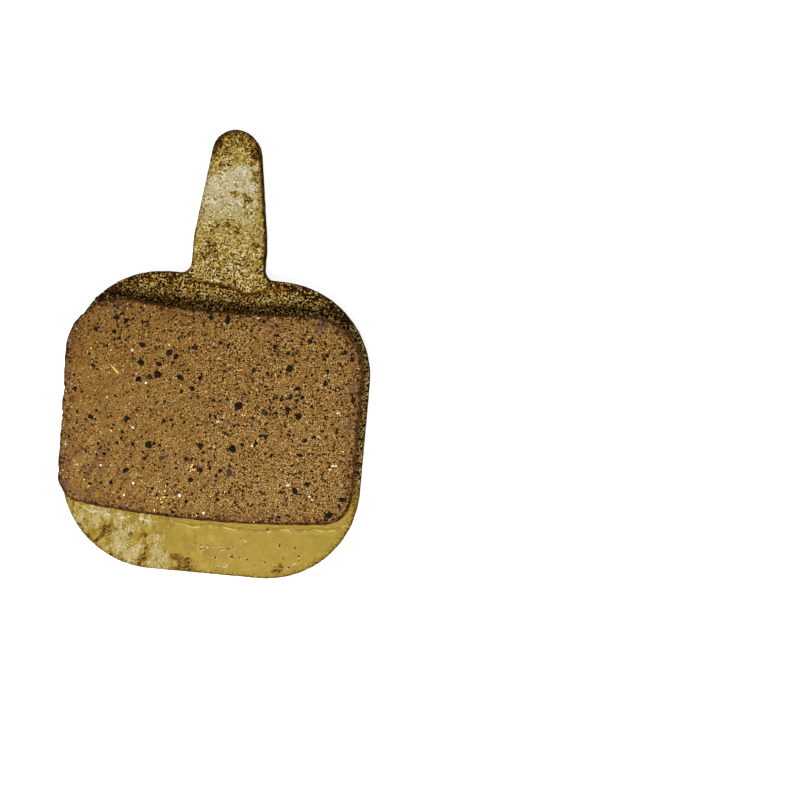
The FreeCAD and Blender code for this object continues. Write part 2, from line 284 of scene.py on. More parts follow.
class Shader:
    """A Principled material whose nodes are added by short calls. Lengths in it are millimetres."""

    def __init__(self, name, **settings):
        self.material = bpy.data.materials.new(name)
        self.material.use_nodes = True
        self.tree = self.material.node_tree
        self.surface = self.tree.nodes["Principled BSDF"]
        for socket, value in settings.items():
            self.set(socket.replace("_", " "), value)
        self.place = self.scaled(self.add("ShaderNodeTexCoord").outputs["Object"], 1 / MM)

    def feed(self, socket, value):
        if isinstance(value, bpy.types.NodeSocket):
            self.tree.links.new(value, socket)
        elif socket.type == "RGBA":
            socket.default_value = (*value, 1.0)
        else:
            socket.default_value = value

    def add(self, kind, inputs=None, **settings):
        node = self.tree.nodes.new(kind)
        for name, value in settings.items():
            setattr(node, name, value)
        for name, value in (inputs or {}).items():
            self.feed(node.inputs[name], value)
        return node

    def set(self, socket, value):
        self.feed(self.surface.inputs[socket], value)

    def vector(self, operation, first, second):
        node = self.add("ShaderNodeVectorMath", operation=operation, inputs={0: first, 1: second})
        return node.outputs[0]

    def scaled(self, vector, factor):
        node = self.add("ShaderNodeVectorMath", operation="SCALE", inputs={0: vector, "Scale": factor})
        return node.outputs[0]

    def math(self, operation, first, second=0.0):
        return self.add("ShaderNodeMath", operation=operation, inputs={0: first, 1: second}).outputs[0]

    def times(self, first, second):
        return self.math("MULTIPLY", first, second)

    def larger(self, first, second):
        return self.math("MAXIMUM", first, second)

    def absolute(self, value):
        return self.math("ABSOLUTE", value)

    def rest(self, value):
        """What is left of one."""
        return self.math("SUBTRACT", 1.0, value)

    def total(self, first, *others):
        for other in others:
            first = self.math("ADD", first, other)
        return first

    def swing(self, value, reach):
        """A value about a half, made to swing about zero."""
        return self.times(self.math("SUBTRACT", value, 0.5), reach)

    def mix(self, factor, first, second):
        node = self.add("ShaderNodeMix", data_type="RGBA")
        for socket, value in ((node.inputs[0], factor), (node.inputs[6], first), (node.inputs[7], second)):
            self.feed(socket, value)
        return node.outputs[2]

    def step(self, value, low, high):
        """0 below low, 1 above high, and smooth between. With low above high it falls instead."""
        return self.add("ShaderNodeMapRange", interpolation_type="SMOOTHSTEP",
                        inputs={"Value": value, "From Min": low, "From Max": high}).outputs[0]

    def ramp(self, value, stops):
        """A colour that runs through the stops, each a value and its colour, in rising order."""
        node = self.add("ShaderNodeValToRGB", inputs={0: value})
        elements = node.color_ramp.elements
        elements[0].position, elements[1].position = stops[0][0], stops[-1][0]
        for position, _ in stops[1:-1]:
            elements.new(position)
        for element, (_, colour) in zip(elements, stops):
            element.color = (*colour, 1.0)
        return node.outputs[0]

    def noise(self, size, detail=3.0, roughness=0.55, place=None, distortion=0.0):
        return self.add("ShaderNodeTexNoise", inputs={
            "Vector": place or self.place, "Scale": 1 / size, "Detail": detail, "Roughness": roughness,
            "Distortion": distortion}).outputs[0]

    def cells(self, size, place=None):
        """A Voronoi node: its Distance is in cells, and the parts of its Color are random for each cell."""
        return self.add("ShaderNodeTexVoronoi", inputs={"Vector": place or self.place, "Scale": 1 / size})

    def shaken(self, size, reach):
        """The place moved about by noise, which makes what is drawn there angular and uneven."""
        wobble = self.add("ShaderNodeTexNoise", inputs={"Vector": self.place, "Scale": 1 / size})
        about_zero = self.vector("SUBTRACT", wobble.outputs["Color"], (0.5, 0.5, 0.5))
        return self.vector("ADD", self.place, self.scaled(about_zero, 2 * reach))

    def turned(self, angle, squeeze):
        """The place turned about Z, then squeezed along the axes, to draw streaks."""
        turn = self.add("ShaderNodeVectorRotate", rotation_type="Z_AXIS",
                        inputs={"Vector": self.place, "Angle": angle}).outputs[0]
        return self.vector("MULTIPLY", turn, squeeze)

    def scatter(self, size, share):
        """1 on grains of about a size, which take up about a share of the surface's cells."""
        outer_edge, inner_edge = 0.55, 0.4
        soft = 0.005
        cells = self.cells(size, self.shaken(size * 0.8, size * 0.35))
        odds = self.add("ShaderNodeSeparateColor", inputs={0: cells.outputs["Color"]}).outputs["Red"]
        chosen = self.step(odds, 1 - share - soft, 1 - share + soft)
        return self.times(chosen, self.step(cells.outputs["Distance"], outer_edge, inner_edge))

    def read(self, name):
        return self.add("ShaderNodeAttribute", attribute_name=name).outputs["Fac"]

    def axes(self):
        return self.add("ShaderNodeSeparateXYZ", inputs={0: self.place}).outputs

    def bump(self, height, depth):
        """Bump whose height input, 0 to 1, stands for a depth in millimetres."""
        inputs = {"Height": height, "Distance": depth * MM, "Strength": 1.0}
        self.set("Normal", self.add("ShaderNodeBump", inputs=inputs).outputs[0])


def srgb(red, green, blue):
    """A colour as read off the screen, 0 to 255, in the linear values that a shader takes."""
    def linear(value):
        value /= 255
        return value / 12.92 if value <= 0.04045 else ((value + 0.055) / 1.055) ** 2.4
    return tuple(linear(v) for v in (red, green, blue))


def front_lacquer():
    """Gold lacquer on rough steel: crinkled on the tab and the shoulder, and smooth below the block.

    One value runs through the colours from dark hollows to pale crests: the dark is partly painted shade in
    the hollows, the pale partly painted glints on the crests. What moves it is kept per vertex.
    """
    shader = Shader("front_lacquer", Specular_IOR_Level=0.18, Specular_Tint=srgb(240, 205, 130))
    marks = ("tone", "relief", "streak", "pool", "painted_tab_glare", "band_glare", "stain", "shade")
    tone, relief, streak, pool, painted_tab_glare, band_glare, stain, shade = (shader.read(name) for name in marks)
    # The crinkle is both the lacquer's bump and its colour: pale on the crests as painted glints, dark in
    # the hollows as painted shade
    fine = shader.noise(0.13, 1.5, 0.6, shader.shaken(0.22, 0.1))
    bends = shader.noise(0.26, 1.0, 0.5, None, 0.5)
    worms = shader.step(shader.absolute(shader.swing(bends, 1.0)), 0.15, 0.0)
    crinkle = shader.total(shader.times(fine, 0.75), shader.times(worms, 0.16), 0.045)
    coarse = shader.noise(0.9, 2)
    ragged_edge = shader.noise(0.4, 4, 0.65)
    thin = shader.step(shader.noise(0.6, 3, 0.6), 0.38, 0.58)
    runs = shader.noise(0.9, 4, 0.6, shader.turned(0, (2.2, 0.8, 1.0)), 1.0)
    wander = shader.swing(shader.noise(0.5, 2), 0.45)
    # Pale lines along the rim where a pool of lacquer ended: painted highlights on its ridge
    first_rim_highlight = shader.step(shader.absolute(shader.total(pool, wander)), 0.08, 0.02)
    second_rim_highlight = shader.step(shader.absolute(shader.total(pool, wander, 0.24)), 0.06, 0.01)
    stained = shader.step(shader.total(stain, shader.swing(ragged_edge, 1.4)), 0.2, 0.7)
    uneven_relief = shader.times(relief, shader.total(shader.times(thin, 0.9), 0.5))
    rough = shader.total(uneven_relief, shader.times(stained, 0.4))

    value = shader.total(
        tone,
        shader.times(rough, shader.swing(crinkle, 1.9)),
        shader.times(streak, shader.swing(runs, 1.0)),
        shader.swing(coarse, 0.1),
        shader.times(first_rim_highlight, shader.times(shader.step(coarse, 0.42, 0.58), 0.15)),
        shader.times(second_rim_highlight, shader.times(shader.step(coarse, 0.55, 0.42), 0.08)),
        shader.times(stained, -0.12),
    )
    colour = shader.ramp(value, (
        (0.22, srgb(50, 28, 5)), (0.34, srgb(90, 60, 14)), (0.44, srgb(132, 98, 28)),
        (0.52, srgb(164, 139, 48)), (0.6, srgb(192, 168, 84)), (0.7, srgb(224, 206, 146)),
        (0.88, srgb(248, 242, 220)),
    ))
    brown = shader.ramp(value, (
        (0.22, srgb(24, 11, 2)), (0.34, srgb(69, 36, 8)), (0.44, srgb(118, 73, 20)),
        (0.52, srgb(152, 107, 36)), (0.6, srgb(181, 139, 50)), (0.7, srgb(214, 177, 84)),
        (0.88, srgb(240, 217, 146)),
    ))
    colour = shader.mix(shader.larger(shade, shader.times(stained, 0.6)), colour, brown)
    # Pale colours of the painted glare on the tab, a reflection put into the colour
    pale = shader.ramp(value, (
        (0.34, srgb(134, 110, 56)), (0.46, srgb(172, 152, 92)), (0.56, srgb(200, 186, 144)),
        (0.7, srgb(242, 236, 216)),
    ))
    # Pale colours of the painted glare below the block
    band_glare_colour = shader.ramp(value, (
        (0.34, srgb(138, 114, 52)), (0.46, srgb(177, 156, 84)), (0.56, srgb(205, 191, 139)),
        (0.7, srgb(244, 238, 212)),
    ))
    clean = shader.rest(stained)
    tab_glare_mask = shader.step(shader.total(painted_tab_glare, shader.swing(ragged_edge, 1.0)), 0.1, 1.0)
    band_glare_mask = shader.times(shader.step(shader.total(band_glare, shader.swing(runs, 1.6)), 0.2, 0.7), 0.8)
    colour = shader.mix(shader.times(tab_glare_mask, clean), colour, pale)
    shader.set("Base Color", shader.mix(shader.times(band_glare_mask, clean), colour, band_glare_colour))
    shader.set("Roughness", shader.total(shader.times(relief, 0.22), 0.2))
    height = shader.total(shader.times(rough, crinkle), shader.times(streak, shader.times(runs, 0.5)))
    shader.bump(height, 0.08)
    return shader.material


def edge_paint_and_shade():
    """Thin dull paint on the plate's punched sides, with paler grains and drawn streaks: its dark brown is
    partly the thin paint's own colour and partly painted shade.
    """
    shader = Shader("edge_paint_and_shade", Specular_IOR_Level=0.0)
    grain = shader.noise(0.16, 2, 0.6)
    drawn = shader.noise(0.5, 2, 0.6, shader.turned(0, (1.0, 1.0, 0.25)))
    value = shader.total(shader.swing(grain, 1.0), shader.swing(drawn, 0.8), 0.5)
    colour = shader.ramp(value, (
        (0.25, srgb(30, 19, 6)), (0.45, srgb(62, 42, 15)), (0.6, srgb(94, 68, 26)),
        (0.8, srgb(150, 120, 56)),
    ))
    shader.set("Base Color", colour)
    shader.set("Roughness", shader.total(shader.times(grain, -0.2), 0.8))
    shader.bump(value, 0.04)
    return shader.material


def spray_grain(shader):
    """The fine grain of sprayed paint, the same on the back and on the plugs."""
    return shader.noise(0.11, 1.5, 0.6, shader.shaken(0.2, 0.08))


def back_spray():
    """Gold metallic paint sprayed on the back and round its edge, with a fine salt-and-pepper grain."""
    shader = Shader("back_spray", Roughness=0.45, Metallic=0.25)
    scuff, paler_towards_tab = shader.read("scuff"), shader.read("paler_towards_tab")
    grain = spray_grain(shader)
    value = shader.total(shader.swing(grain, 2.2), shader.swing(shader.noise(3.0, 3), 0.25), 0.48)
    colour = shader.ramp(value, (
        (0.2, srgb(70, 48, 10)), (0.42, srgb(146, 117, 36)), (0.54, srgb(176, 147, 60)),
        (0.7, srgb(220, 200, 122)), (0.88, srgb(248, 240, 200)),
    ))
    pale = shader.ramp(value, (
        (0.25, srgb(110, 90, 48)), (0.5, srgb(204, 186, 136)), (0.8, srgb(246, 240, 214)),
    ))
    bare = shader.ramp(value, (
        (0.25, srgb(52, 36, 16)), (0.5, srgb(116, 92, 52)), (0.8, srgb(220, 202, 156)),
    ))
    worn = shader.step(shader.total(scuff, shader.swing(shader.noise(0.5, 3, 0.6), 1.2)), 0.3, 0.7)
    colour = shader.mix(shader.times(paler_towards_tab, 0.5), colour, pale)
    shader.set("Base Color", shader.mix(worn, colour, bare))
    shader.bump(grain, 0.05)
    return shader.material


def plug_paint():
    """The same paint, thin and dulled, on the ends of the block's plugs."""
    shader = Shader("plug_paint", Roughness=0.6, Metallic=0.15)
    grain = spray_grain(shader)
    value = shader.total(shader.swing(grain, 2.2), shader.swing(shader.noise(1.2, 3), 0.3), 0.5)
    colour = shader.ramp(value, (
        (0.2, srgb(62, 42, 16)), (0.42, srgb(148, 119, 60)), (0.54, srgb(182, 149, 80)),
        (0.7, srgb(224, 196, 124)), (0.88, srgb(248, 234, 190)),
    ))
    shader.set("Base Color", colour)
    shader.bump(grain, 0.06)
    return shader.material


def friction_compound():
    """Pressed compound, ground flat: tan binder and brass dust, with dark, red and pale grains in it."""
    shader = Shader("friction_compound", Specular_IOR_Level=0.05, Specular_Tint=srgb(236, 190, 130))
    rim, smear, wall = (shader.read(name) for name in ("rim", "smear", "wall"))
    place = shader.axes()
    dust = shader.noise(0.09, 1.5, 0.6, shader.shaken(0.16, 0.06))
    grain = shader.noise(0.28, 2, 0.6)
    soft = shader.noise(1.6, 2)
    streak = shader.noise(0.32, 3, 0.6, shader.turned(math.radians(-62), (0.14, 1.0, 1.0)))
    worn = shader.times(shader.step(place["X"], 0.0, -9.0), shader.step(place["Y"], 3.0, -4.0))
    patches = shader.step(shader.noise(0.8, 3, 0.6), 0.35, 0.62)
    open_grain = shader.times(shader.total(shader.times(shader.step(place["X"], -9.0, 4.0), 0.5), 0.45),
                              shader.total(shader.times(patches, 0.7), 0.6))
    # Dust stands out where it is well above or below the middle, and leaves quiet places between
    standing = shader.step(shader.absolute(shader.swing(dust, 1.0)), 0.0, 0.13)

    value = shader.total(
        0.56,
        shader.times(shader.step(place["Y"], -6.0, 8.0), -0.055),
        shader.times(shader.times(shader.swing(dust, 2.4), standing), open_grain),
        shader.swing(grain, 0.15),
        shader.swing(soft, 0.12),
        shader.times(worn, shader.swing(streak, 0.6)),
        shader.times(shader.step(rim, 0.35, 0.05), -0.1),
    )
    colour = shader.ramp(value, (
        (0.18, srgb(34, 19, 8)), (0.38, srgb(104, 66, 27)), (0.5, srgb(152, 110, 53)),
        (0.58, srgb(164, 122, 61)), (0.7, srgb(183, 141, 72)), (0.88, srgb(236, 204, 138)),
    ))
    fibres = shader.step(shader.noise(0.3, 2, 0.6, shader.turned(0.5, (0.4, 1.2, 1.0))), 0.62, 0.72)
    colour = shader.mix(shader.times(fibres, 0.45), colour, srgb(128, 68, 38))
    rosy = shader.step(shader.noise(1.1, 3, 0.6), 0.5, 0.68)
    colour = shader.mix(shader.times(rosy, 0.22), colour, srgb(150, 96, 62))
    dull = shader.times(worn, shader.step(streak, 0.54, 0.4))
    colour = shader.mix(shader.times(dull, 0.45), colour, srgb(118, 82, 66))
    for size, share, strength, paint in (
        (0.14, 0.2, 0.9, srgb(46, 26, 12)), (0.11, 0.07, 0.9, srgb(226, 192, 118)),
        (0.17, 0.06, 0.7, srgb(140, 66, 38)), (0.12, 0.011, 1.0, srgb(234, 214, 182)),
        (0.2, 0.04, 1.0, srgb(24, 17, 10)), (0.3, 0.03, 0.75, srgb(52, 34, 25)),
    ):
        colour = shader.mix(shader.times(shader.scatter(size, share), strength), colour, paint)
    # The right half and the upper side hold more dark grains, and the rim is dark with crumbs
    near_rim = shader.times(shader.step(rim, 1.8, 0.2), patches)
    colour = shader.mix(shader.times(near_rim, 0.4), colour, srgb(112, 66, 42))
    grainy = shader.larger(shader.step(place["X"], -4.0, 5.0), shader.step(place["Y"], 2.0, 6.0))
    darker = shader.times(shader.scatter(0.18, 0.17), grainy)
    on_face = shader.rest(wall)
    crumbs = shader.times(shader.scatter(0.28, 0.5), shader.times(shader.step(rim, 0.8, 0.25), on_face))
    colour = shader.mix(shader.larger(darker, shader.times(crumbs, 0.85)), colour, srgb(38, 21, 11))
    lower_side = shader.step(place["Y"], -3.0, -5.5)
    ragged_rim = shader.total(rim, shader.swing(grain, 0.5), shader.times(lower_side, -0.14))
    at_rim = shader.step(ragged_rim, 0.15, 0.01)
    colour = shader.mix(shader.times(shader.times(at_rim, on_face), 0.75), colour, srgb(62, 32, 15))
    # The walls keep a thin brown skin from the mould, drawn upwards and open in places
    drawn = shader.noise(0.35, 3, 0.6, shader.turned(0, (1.0, 1.0, 0.4)))
    skin = shader.total(shader.times(shader.step(drawn, 0.42, 0.6), 0.5), 0.25)
    colour = shader.mix(shader.times(wall, skin), colour, srgb(96, 58, 28))
    smeared = shader.times(smear, shader.step(grain, 0.35, 0.6))
    colour = shader.mix(shader.times(smeared, 0.75), colour, srgb(88, 79, 70))
    shader.set("Base Color", colour)
    shader.set("Roughness", shader.total(shader.times(dust, -0.3), 0.95))
    shader.bump(shader.total(dust, shader.times(grain, 0.6)), 0.06)
    return shader.material


def graphite():
    shader = Shader("graphite", Roughness=0.75, Specular_IOR_Level=0.06, Specular_Tint=srgb(255, 220, 180))
    grain = shader.noise(0.12, 2)
    colour = shader.mix(shader.step(grain, 0.4, 0.65), srgb(14, 11, 8), srgb(54, 45, 35))
    shader.set("Base Color", shader.mix(shader.scatter(0.9, 0.25), colour, srgb(80, 64, 50)))
    shader.bump(grain, 0.05)
    return shader.material


def metal(name, low, high):
    shader = Shader(name, Metallic=0.4)
    grain = shader.noise(0.1, 2)
    shader.set("Base Color", shader.mix(grain, low, high))
    shader.set("Roughness", shader.total(shader.times(grain, 0.3), 0.2))
    return shader.material


def bubble_skin():
    shader = Shader("bubble_skin", Specular_IOR_Level=0.35, Specular_Tint=srgb(236, 186, 100))
    hollow = shader.read("hollow")
    # The pale spots on the bubbles' rings are painted highlights
    spots = shader.noise(0.15, 2)
    colour = shader.mix(shader.step(spots, 0.44, 0.6), srgb(170, 140, 56), srgb(236, 218, 150))
    shader.set("Base Color", shader.mix(hollow, colour, srgb(76, 48, 12)))
    shader.set("Roughness", shader.total(shader.times(hollow, 0.3), 0.22))
    return shader.material


# The pad's pieces

def in_block_plan(point):
    return abs(point.x) < BLOCK_HIGH.x and BLOCK_LOW.y < point.y < BLOCK_HIGH.y


OUTLINE = wall_tree("backing_plate", lambda centre: not in_block_plan(centre))
BLOCK_WALL = wall_tree("friction_block", lambda centre: centre.z > PLATE_FRONT)


def paint_lacquer(mesh, points, edge, block, pool):
    """Keeps what the lacquer's material reads at each vertex, such as its tone, relief and painted glare.
    """
    x, y = points[:, 0], points[:, 1]
    uneven = ragged(points, 0.6, 0.35)
    # The tab's lacquer ran down onto the shoulder and ends there in a brown line
    over_line = y - np.interp(x, *zip(*TIDE_LINE)) + 0.08 * fractal(points, 0.4, 2, seed=9)
    tab = smooth_step(over_line, -0.1, 0.15) * smooth_step(np.abs(x), 3.4, 2.7)
    line = np.exp(-(over_line / 0.12) ** 2) * smooth_step(x, -3.2, -2.2) * smooth_step(x, 3.4, 2.6)
    # The smooth lacquer below the block reaches farther up on its right side
    right = smooth_step(x, 9.0, 10.2)
    below = smooth_step(y, -5.2 + 3.6 * right, -6.6 + 1.4 * right)
    beside = 1 - tab - below
    # Painted glare on the tab: a pale reflection put into the colour, with a slanting upper end, and a
    # patch of it near the tip
    glare_end = 18.97 + 0.48 * x
    glare = smooth_step(glare_end - uneven[:, 1], -0.1, 0.2)
    glare = glare * smooth_step(y, 14.2, 17.0) * smooth_step(x, 2.2, 1.2)
    glare = np.maximum(glare, 0.7 * blobs(uneven, TIP_GLARE))
    stain = blobs(uneven, STAINS)
    left = smooth_step(x, -2.0, -5.5)
    tip = smooth_step(uneven[:, 1], 19.0, 20.2)
    root = smooth_step(y, 14.5, SHOULDER)

    tip_rim = tip * np.exp(-edge / (0.3 + 0.3 * smooth_step(x, -1.0, 1.0)))
    tip_blotches = tip * (0.2 * fractal(points, 0.5, 2, seed=10) - 0.055)
    tone = tab * (0.53 + 0.02 * glare + tip_blotches - 0.22 * tip_rim - 0.02 * root)
    # Painted shadow of the block on the shoulder, just above its upper wall
    painted_block_shadow = smooth_step(block, 0.9, 0.4) * smooth_step(y, 6.0, 8.5) * smooth_step(x, 8.0, 3.0)
    # At the block's foot on the right the lacquer runs smooth, and its darker tone there is painted shade
    # where the block's wall meets the plate
    foot_band = right * np.exp(-(block / 0.22) ** 2)
    at_side = (1 - right) * smooth_step(edge + 0.3 * fractal(points, 0.8, 2, seed=11), 1.1, 0.4)
    far_right = smooth_step(x, 2.5, 5.0)
    side_tone = 0.465 - 0.05 * far_right + 0.1 * right
    tone += beside * (side_tone - 0.1 * foot_band - 0.14 * painted_block_shadow - 0.13 * at_side)
    tone += below * 0.51
    tone -= 0.25 * line + 0.18 * np.exp(-edge / 0.14)
    store(mesh, "tone", tone)
    # Painted glare below the block: faint over its left part, stronger in the listed patches
    band_glare = below * (0.25 * left + 0.75 * blobs(uneven, BAND_GLARE))
    tab_relief = 0.56 + 0.54 * root + 0.2 * tip - 0.16 * glare
    at_edge = 0.5 * np.exp(-edge / 0.2)
    shoulder_relief = 1.65 + 0.35 * far_right + 0.3 * right - 1.1 * foot_band - 0.4 * at_side
    relief = tab * tab_relief + beside * shoulder_relief + below * (0.06 + 0.3 * band_glare + at_edge)
    store(mesh, "relief", relief * (1 - 0.85 * line))
    store(mesh, "streak", below * (0.06 + 0.14 * smooth_step(x, 3.0, -1.0) + 0.08 * left))
    store(mesh, "pool", np.where(below > 0.5, pool, 1.0))
    store(mesh, "painted_tab_glare", tab * (0.3 * (1 - tip) * (1 - root) + 0.55 * glare))
    store(mesh, "band_glare", band_glare)
    store(mesh, "stain", stain)
    store(mesh, "shade", beside + tab * np.maximum(0.4 * np.maximum(tip, root), tip_rim))


def plate_paint(normal):
    """Which of the plate's paints a face has: 0 for the front, 1 for the sides and 2 for the back."""
    if normal.z > FRONT_NORMAL:
        return 0
    return 1 if normal.z > BACK_NORMAL else 2


def make_plate():
    mesh = dense_mesh("backing_plate", PLATE_VOXEL)
    points, normals = read_points(mesh)
    edge = distances(OUTLINE, points, PLATE_FRONT / 2)
    block = distances(BLOCK_WALL, points, (PLATE_FRONT + FACE) / 2)
    up = smooth_step(normals[:, 2], 0.3, 0.9)
    down = smooth_step(-normals[:, 2], 0.3, 0.9)

    # Lacquer: long waves, a fillet at the block's foot and a wavy rim where a pool of it ended
    rough = 1 - 0.7 * smooth_step(points[:, 1], -5.0, -6.5) * smooth_step(points[:, 0], -5.0, -1.0)
    waves = rough * (0.03 * fractal(points, 2.2, 3, seed=1) + 0.008 * fractal(points, 0.5, 2, seed=2))
    foot = 0.12 * np.exp(-block / 0.14)
    pool = block - 0.92 - 0.3 * fractal(points * [1, 0, 0], 1.8, 2, seed=3)
    pool_rim = 0.02 * np.exp(-(pool / 0.11) ** 2) * smooth_step(points[:, 1], -6.0, -6.8)
    rise = up * smooth_step(edge, 0.05, 0.6) * (waves + foot + pool_rim)
    grain = down * -0.012 * (1 + fractal(points, 0.35, 2, seed=4))
    side = (1 - up) * (1 - down) * 0.025 * fractal(points, 0.6, 3, seed=5)
    moved = points + normals * (rise + grain + side)[:, None]
    moved = np.clip(moved, list(PLATE_LOW), [PLATE_HIGH.x, PLATE_HIGH.y, FACE])
    write_points(mesh, moved)
    paint_lacquer(mesh, points, edge, block, pool)
    store(mesh, "scuff", down * blobs(ragged(points, 0.6, 0.35), SCUFFS))
    # The back is made paler towards the tab
    store(mesh, "paler_towards_tab", down * smooth_step(points[:, 1], 8.0, 14.0))
    for polygon in mesh.polygons:
        polygon.material_index = plate_paint(polygon.normal)
    paints = [front_lacquer(), edge_paint_and_shade(), back_spray()]
    return add_piece("plate_skin", mesh, paints, node="backing_plate")


def make_block():
    mesh = dense_mesh("friction_block", BLOCK_VOXEL)
    points, normals = read_points(mesh)
    rim = distances(BLOCK_WALL, points, (PLATE_FRONT + FACE) / 2)
    up = smooth_step(normals[:, 2], 0.3, 0.9)
    front = smooth_step(points[:, 2], PLATE_FRONT + 0.3, PLATE_FRONT + 0.6)

    # The ground face is slightly uneven, and its edge is chipped and rounded by handling
    uneven = FACE_DROP + 0.012 * fractal(points, 0.3, 3, seed=6)
    chips = 0.16 * smooth_step(fractal(points, 0.9, 3, seed=7), 0.25, 0.9) * np.exp(-rim / 0.2)
    side = 0.04 * fractal(points, 0.7, 3, seed=8)
    inset = front * (up * (uneven + chips) + (1 - up) * (side + chips))
    points = points - normals * inset[:, None]
    write_points(mesh, points)

    store(mesh, "rim", np.where(points[:, 2] > FACE - 0.3, rim, 0.0))
    store(mesh, "wall", smooth_step(points[:, 2], FACE - 0.15, FACE - 0.4))
    store(mesh, "smear", blobs(ragged(points, 0.4, 0.2), SMEARS))
    for polygon in mesh.polygons:
        plug_end = polygon.normal.z < WALL_NORMAL and polygon.center.z < PLATE_FRONT / 2 * MM
        polygon.material_index = 1 if plug_end else 0
    return add_piece("block_skin", mesh, [friction_compound(), plug_paint()],
                     node="friction_block")


def inside_face(x, y, margin):
    """True if a place is on the friction face and at least the margin from its edge."""
    if not in_block_plan(Vector((x, y, FACE))):
        return False
    place = Vector((x, y, (PLATE_FRONT + FACE) / 2))
    location, normal, _, distance = BLOCK_WALL.find_nearest(place)
    return (location - place).dot(normal) > 0 and distance > margin


def slid_inside(x, y, margin):
    """The place itself or, if it is too near the face's edge, one farther in towards the origin."""
    nearer = 0.99
    while not inside_face(x, y, margin):
        x, y = nearer * x, nearer * y
    return x, y


def random_places(count, margin):
    """Places on the friction face, some of them in loose clusters."""
    places = []
    while len(places) < count:
        x = RNG.uniform(BLOCK_LOW.x, BLOCK_HIGH.x)
        y = RNG.uniform(BLOCK_LOW.y, BLOCK_HIGH.y)
        if places and RNG.random() < CLUSTERED_SHARE:
            near = RNG.choice(places)
            x, y = RNG.gauss(near[0], CLUSTER_SPREAD), RNG.gauss(near[1], CLUSTER_SPREAD)
        if inside_face(x, y, margin):
            places.append((x, y))
    return places


def add_lump(shape, x, y, radius, length=1.0, turn=None, top=GRAIN_TOP, depth=GRAIN_DEPTH):
    """A flat-topped angular grain, sunk in the face: an uneven ring, its top, its bottom and its sides."""
    corners = RNG.randint(*GRAIN_CORNERS)
    turn = RNG.uniform(0, math.tau) if turn is None else turn
    lean = Vector((RNG.uniform(-GRAIN_LEAN, GRAIN_LEAN), RNG.uniform(-GRAIN_LEAN, GRAIN_LEAN)))
    uppers, lowers = [], []
    for i in range(corners):
        angle = math.tau * (i + RNG.uniform(-CORNER_SHIFT, CORNER_SHIFT)) / corners
        reach = radius * RNG.uniform(*CORNER_REACH)
        corner = Vector((reach * length * math.cos(angle), reach * math.sin(angle)))
        offset = Matrix.Rotation(turn, 2) @ corner
        high = min(top + lean.dot(offset), HIGHEST_POINT)
        uppers.append(shape.verts.new(Vector((x + offset.x, y + offset.y, high)) * MM))
        lowers.append(shape.verts.new(Vector((x + offset.x, y + offset.y, top - depth)) * MM))
    shape.faces.new(uppers)
    shape.faces.new(lowers[::-1])
    for i in range(corners):
        j = (i + 1) % corners
        shape.faces.new((uppers[j], uppers[i], lowers[i], lowers[j]))


def finish_grains(name, shape, material):
    mesh = bpy.data.meshes.new(name)
    shape.to_mesh(mesh)
    shape.free()
    add_piece(name, mesh, [material], smooth=False)


def make_grains():
    """The larger grains that lie open in the ground face."""
    shape = bmesh.new()
    for x, y, radius in GRANULES:
        radius = max(radius, SMALLEST_GRANULE)
        add_lump(shape, *slid_inside(x, y, 1.75 * radius + 0.12), radius, RNG.uniform(0.9, 1.4))
    for x, y in random_places(SMALL_GRAINS, margin=0.15):
        add_lump(shape, x, y, RNG.uniform(0.045, 0.11), RNG.uniform(0.9, 1.7))
    finish_grains("graphite_grains", shape, graphite())

    shape = bmesh.new()
    for x, y in random_places(BRASS_GRAINS, margin=0.2):
        add_lump(shape, x, y, RNG.uniform(0.03, 0.045), RNG.uniform(1.2, 3.0))
    start, end = SLIVER_ENDS
    middle = (start + end) / 2
    along = end - start
    # Most corners fall short of the full length, so a little is added to it
    stretch = 1.15 * along.length / 2 / SLIVER_WIDTH
    turn = math.atan2(along.y, along.x)
    add_lump(shape, middle.x, middle.y, SLIVER_WIDTH, stretch, turn, top=FACE - 0.005)
    finish_grains("brass_grains", shape, metal("brass", srgb(190, 140, 50), srgb(255, 220, 130)))

    shape = bmesh.new()
    for x, y in SPECKS:
        add_lump(shape, *slid_inside(x, y, 0.2), RNG.uniform(0.065, 0.1), RNG.uniform(0.9, 1.5))
    finish_grains("steel_grains", shape, metal("steel", srgb(190, 176, 162), srgb(244, 236, 226)))


def make_flash(block):
    """A crumb of compound squeezed out at the block's corner when it was pressed."""
    shape = bmesh.new()
    add_lump(shape, *FLASH_PLACE, 0.09, 2.8, math.radians(119), top=FACE - 0.3, depth=0.4)
    x, y = FLASH_PLACE.x - 0.12, FLASH_PLACE.y + 0.05
    add_lump(shape, x, y, 0.06, 2.0, math.radians(140), top=FACE - 0.4, depth=0.3)
    finish_grains("press_flash", shape, block.data.materials[0])


def add_bubble(shape, hollow, place):
    """A low uneven ring round a hollow, as a bubble leaves that burst in the lacquer."""
    radius = RNG.triangular(0.05, 0.18, 0.09)
    depth = RNG.choice((0.2, 0.7, 1.0, 1.0))
    rows = []
    for reach, rise, dark in BUBBLE_PROFILE:
        row = []
        for i in range(BUBBLE_CORNERS):
            angle = math.tau * i / BUBBLE_CORNERS
            spread = radius * reach * (1 + 0.12 * math.sin(2 * angle + place.x))
            offset = Vector((spread * math.cos(angle), spread * math.sin(angle), rise))
            vert = shape.verts.new((place + offset) * MM)
            vert[hollow] = dark * depth
            row.append(vert)
        rows.append(row)
    for inner, outer in zip(rows, rows[1:]):
        for i in range(BUBBLE_CORNERS):
            j = (i + 1) % BUBBLE_CORNERS
            shape.faces.new((inner[i], outer[i], outer[j], inner[j]))


